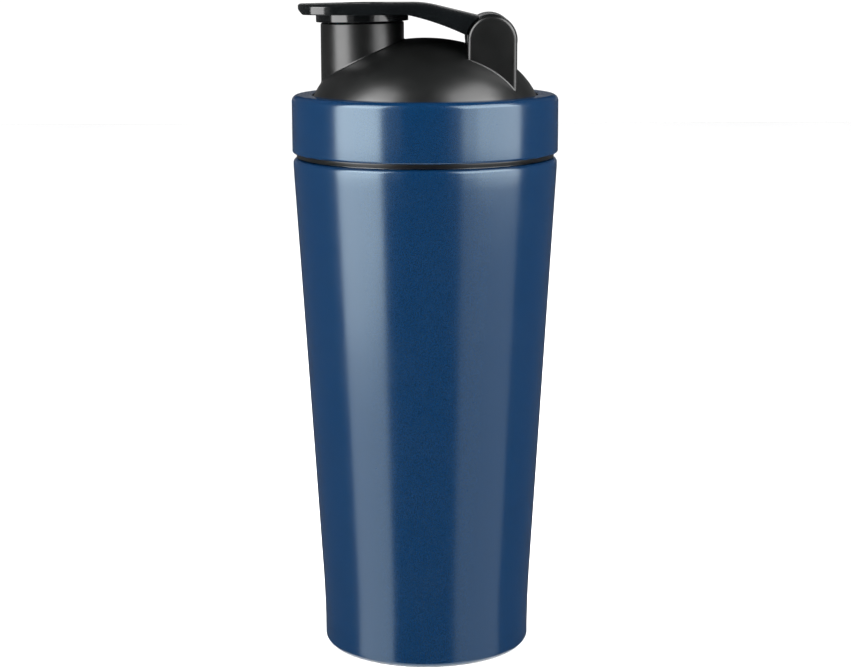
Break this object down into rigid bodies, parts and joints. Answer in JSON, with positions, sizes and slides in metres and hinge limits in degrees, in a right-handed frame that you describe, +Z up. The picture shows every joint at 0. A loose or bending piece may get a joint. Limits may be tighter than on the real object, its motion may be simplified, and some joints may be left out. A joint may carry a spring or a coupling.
{
  "type": "protein shaker bottle",
  "caption": "Tapered double-walled steel shaker cup with a screw lid, a drinking spout closed by a hinged flip cap, and a loose wire ball that mixes powder into a drink.",
  "frame": {"origin": "centre of the standing face, on the surface that the bottle stands on", "axes": "+Z up along the cup's axis; -X from the axis towards the spout and the thumb tab; the flip cap's hinge axis is parallel to Y"},
  "size_m": [0.09, 0.09, 0.2216],
  "materials": {
    "painted_steel": "smooth semi-gloss deep blue paint",
    "bare_steel": "brushed stainless steel",
    "lid_plastic": "satin black polypropylene",
    "cap_plastic": "semi-gloss black polypropylene",
    "silicone": "soft translucent grey silicone"
  },
  "bodies": {
    "cup": {"cup_outer_shell": "painted_steel", "cup_liner": "bare_steel", "base_disc": "painted_steel"},
    "lid_seal": {"lid_gasket": "silicone"},
    "lid": {"lid_shell": "lid_plastic", "collar_ring": "painted_steel", "hinge_pin": "bare_steel"},
    "cap": {"flip_cap": "cap_plastic", "spout_plug": "silicone"},
    "whisk_ball": {"whisk_ball": "bare_steel"}
  },
  "joints": [
    {"name": "lid_rise", "type": "slide", "parent": "cup", "child": "lid_seal", "axis": [0, 0, 1], "range_m": [0, 0.016]},
    {"name": "lid_turn", "type": "hinge", "parent": "lid_seal", "child": "lid", "pos_m": [0, 0, 0.18], "axis": [0, 0, 1], "range_deg": [0, 720]},
    {"name": "cap_flip", "type": "hinge", "parent": "lid", "child": "cap", "pos_m": [0.02206, 0, 0.2095], "axis": [0, 1, 0], "range_deg": [0, 130]},
    {"name": "ball_rattle", "type": "slide", "parent": "cup", "child": "whisk_ball", "axis": [0, 0, 1], "range_m": [0, 0.12]}
  ],
  "couplings": [
    {"joint": "lid_rise", "follows": "lid_turn", "m_per_rad": 0.0012732}
  ]
}
